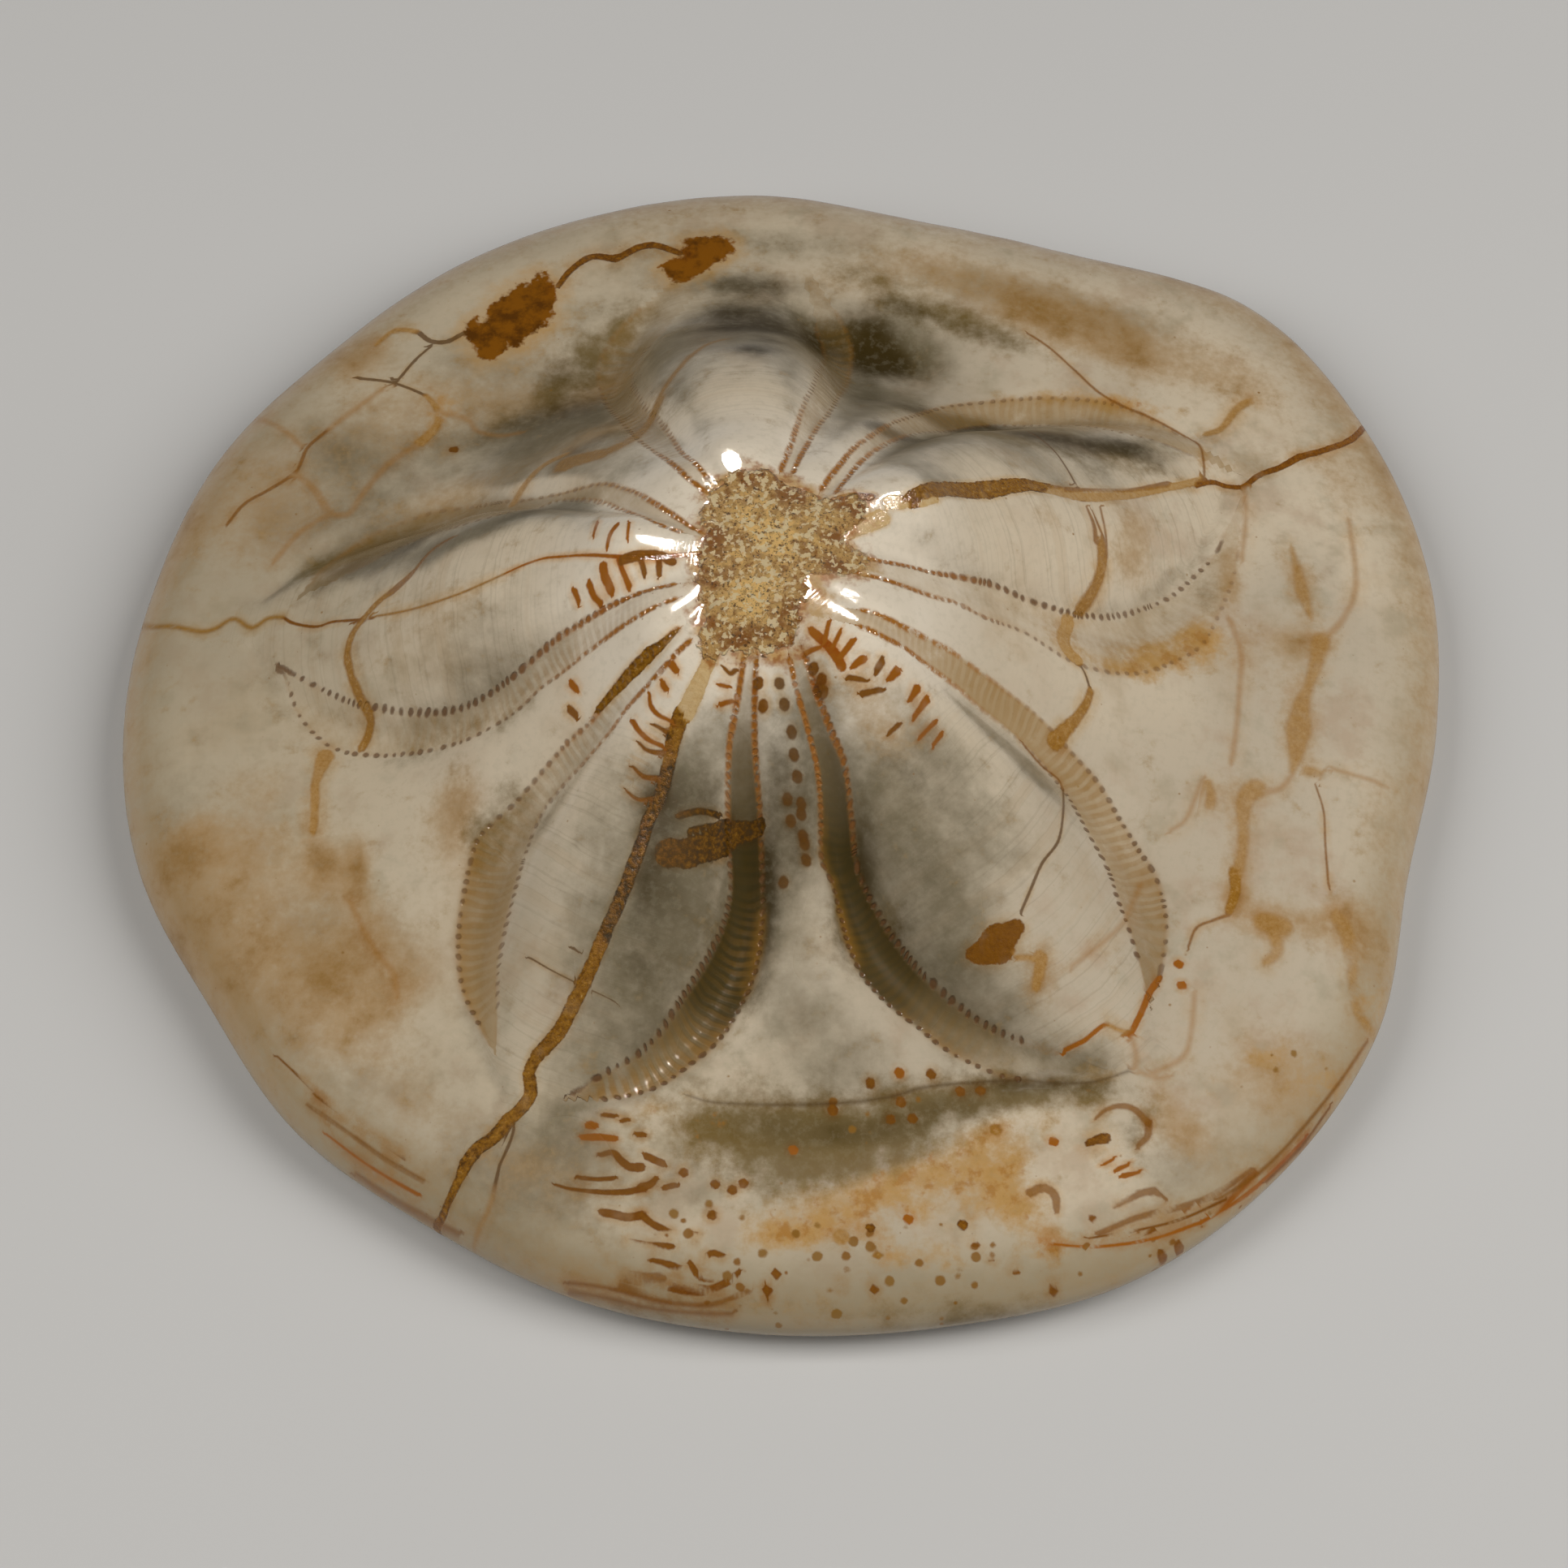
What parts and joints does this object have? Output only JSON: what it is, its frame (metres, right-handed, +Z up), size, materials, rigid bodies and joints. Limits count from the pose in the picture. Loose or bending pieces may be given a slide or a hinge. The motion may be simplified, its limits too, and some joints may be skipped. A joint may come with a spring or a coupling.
{
  "type": "fossil sea urchin",
  "caption": "Polished fossil sea urchin, whole: a low dome with swollen petals and pore bands, a broad flange with a rounded rim, and a flat underside with a sunken mouth.",
  "frame": {"origin": "centre of the bounding box, on the resting plane", "axes": "+Z up out of the summit; +Y towards the urchin's front petal, within about 6 degrees; +X to its side, right in the picture; -Y is the rear rim, nearest the viewer in the picture"},
  "size_m": [0.1486, 0.1474, 0.0412],
  "materials": {
    "polished_stone": "polished ivory and grey stone with brown iron veins and stains, and a rough patch of brown matrix on the summit"
  },
  "bodies": {
    "root": {"fossil_urchin": "polished_stone"}
  },
  "joints": []
}
